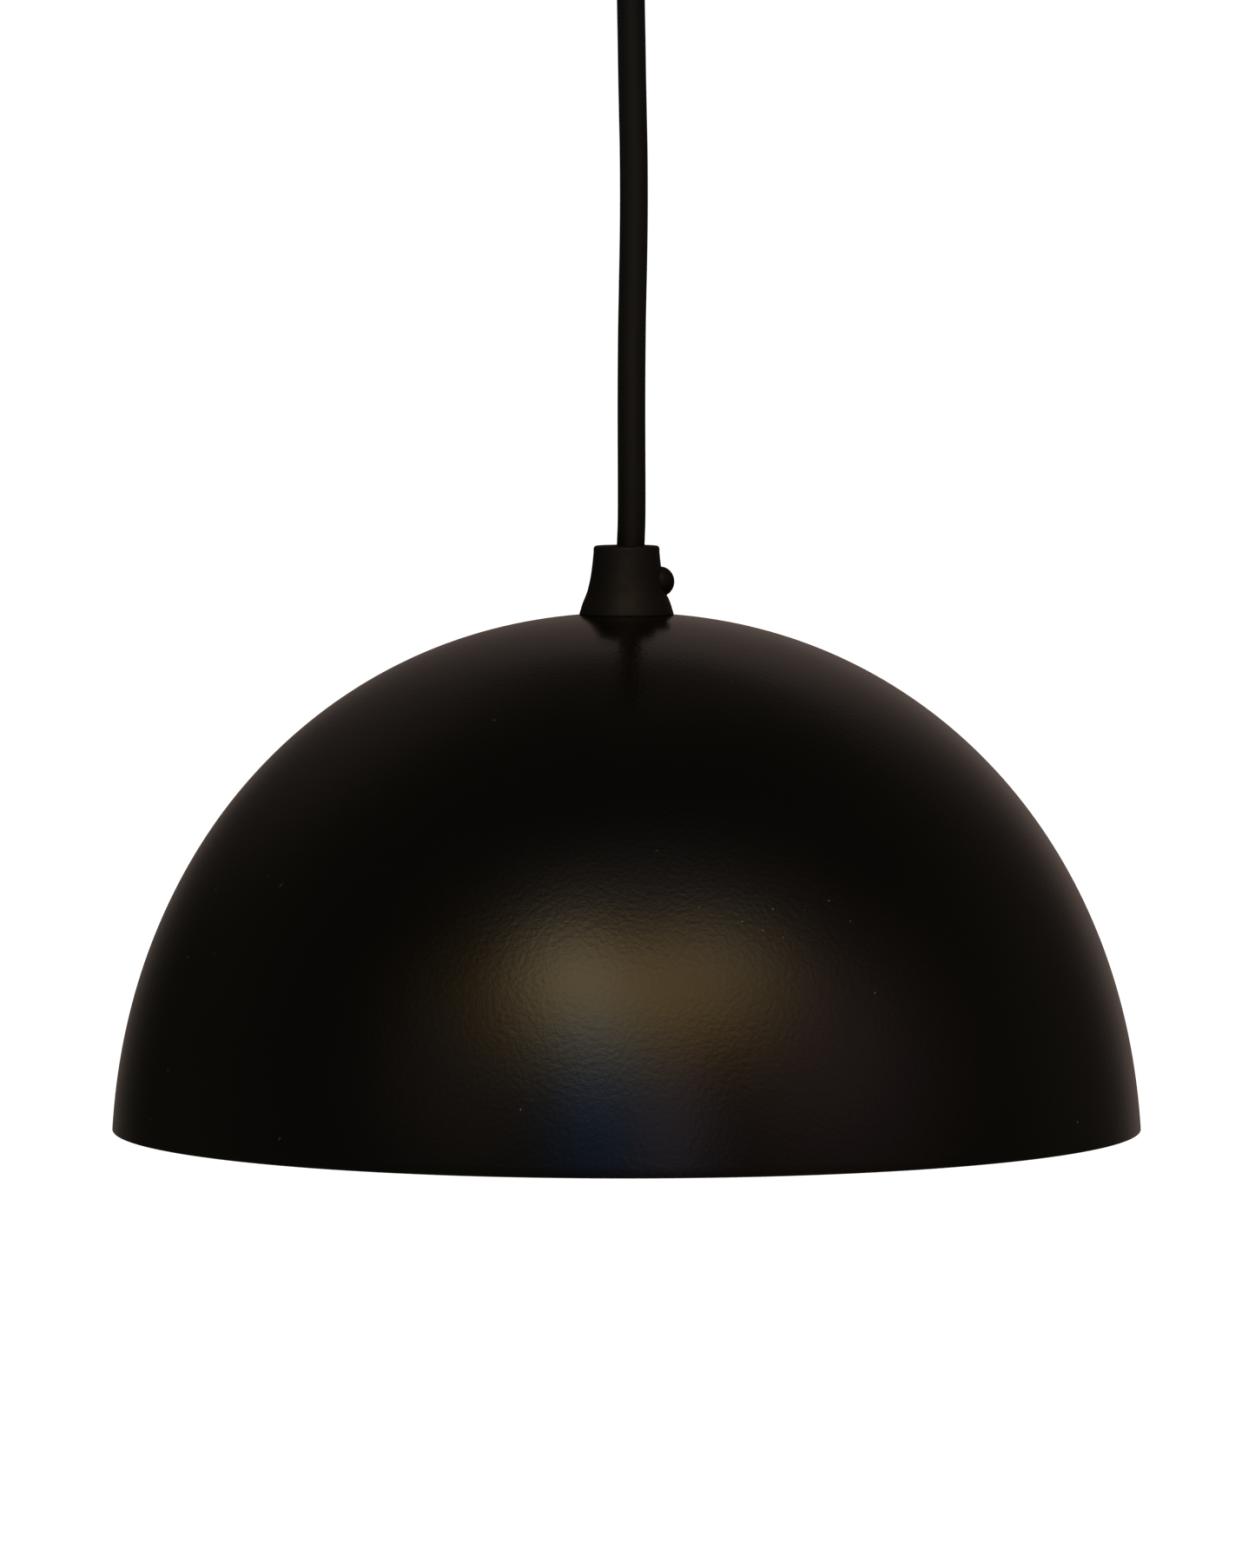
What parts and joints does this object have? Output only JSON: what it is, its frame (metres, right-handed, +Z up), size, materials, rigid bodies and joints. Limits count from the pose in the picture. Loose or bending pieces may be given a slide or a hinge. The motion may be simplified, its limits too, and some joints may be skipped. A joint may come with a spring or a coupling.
{
  "type": "pendant ceiling light",
  "caption": "Dome pendant light: black spun shade on a round cord with bell-shaped cord grips, hung from a small ceiling cup, with a screw-in lamp inside.",
  "frame": {"origin": "on the ceiling plane, at the middle of the ceiling bracket's upper face", "axes": "+Z up, away from the light and into the ceiling; +X towards the side that the cord grips' clamp screws face; -Y is the front"},
  "size_m": [0.25, 0.25, 0.3268],
  "materials": {
    "black_paint": "satin black paint with fine orange peel, off-white inside",
    "black_plastic": "satin moulded black plastic",
    "black_sheath": "smooth black PVC",
    "black_screw": "black-coated steel",
    "zinc": "zinc-plated steel",
    "nickel": "bright plated metal",
    "brass": "plain brass",
    "ceramic": "glazed porcelain",
    "white_plastic": "moulded white plastic",
    "black_glass": "black vitreous insulator",
    "opal": "opal diffuser",
    "brown_insulation": "smooth PVC",
    "blue_insulation": "smooth PVC",
    "earth_insulation": "green and yellow PVC"
  },
  "bodies": {
    "ceiling_bracket": {"ceiling_bracket": "zinc", "canopy_side_screw_left": "black_screw", "canopy_side_screw_right": "black_screw", "bracket_earth_screw": "brass"},
    "canopy": {"canopy_cup": "black_paint", "canopy_nipple": "zinc", "canopy_nut": "zinc", "canopy_washer": "zinc", "canopy_earth_tag": "brass", "canopy_grip": "black_plastic", "canopy_cord_tail": "black_sheath", "terminal_block": "white_plastic", "canopy_core_live": "brown_insulation", "canopy_core_neutral": "blue_insulation", "canopy_core_earth": "earth_insulation", "terminal_sleeve_earth": "brass", "terminal_screw_earth_lamp": "brass", "terminal_screw_earth_supply": "brass", "terminal_sleeve_neutral": "brass", "terminal_screw_neutral_lamp": "brass", "terminal_screw_neutral_supply": "brass", "terminal_sleeve_live": "brass", "terminal_screw_live_lamp": "brass", "terminal_screw_live_supply": "brass"},
    "canopy_grip_screw": {"canopy_grip_screw": "black_screw"},
    "cord": {"cord": "black_sheath"},
    "shade": {"shade": "black_paint", "shade_grip": "black_plastic", "shade_nipple": "zinc", "shade_nut": "zinc", "shade_washer": "zinc", "shade_cord_tail": "black_sheath", "holder_cap": "black_plastic", "holder_skirt": "black_plastic", "holder_insert": "ceramic", "holder_screw_shell": "brass", "holder_centre_contact": "brass", "holder_screw_neutral": "brass", "holder_screw_live": "brass", "holder_earth_tag": "brass", "holder_core_live": "brown_insulation", "holder_core_neutral": "blue_insulation", "holder_core_earth": "earth_insulation"},
    "shade_grip_screw": {"shade_grip_screw": "black_screw"},
    "lamp": {"lamp_globe": "opal", "lamp_collar": "white_plastic", "lamp_screw_cap": "nickel", "lamp_insulator": "black_glass", "lamp_centre_contact": "nickel"}
  },
  "joints": [
    {"name": "canopy_drop", "type": "slide", "parent": "ceiling_bracket", "child": "canopy", "axis": [0, 0, -1], "range_m": [0, 0.03]},
    {"name": "canopy_grip_screw_turn", "type": "hinge", "parent": "canopy", "child": "canopy_grip_screw", "pos_m": [0.0085, 0, -0.0354], "axis": [1, 0, 0], "range_deg": [0, 720]},
    {"name": "cord_swing", "type": "hinge", "parent": "canopy", "child": "cord", "pos_m": [0.00095, 0, -0.04315], "axis": [0, 1, 0], "range_deg": [-30, 30]},
    {"name": "shade_tilt", "type": "hinge", "parent": "cord", "child": "shade", "pos_m": [0.00095, 0, -0.18615], "axis": [1, 0, 0], "range_deg": [-20, 20]},
    {"name": "shade_grip_screw_turn", "type": "hinge", "parent": "shade", "child": "shade_grip_screw", "pos_m": [0.0085, 0, -0.1939], "axis": [1, 0, 0], "range_deg": [0, 720]},
    {"name": "lamp_removal", "type": "slide", "parent": "shade", "child": "lamp", "axis": [0, 0, -1], "range_m": [0, 0.1]}
  ]
}
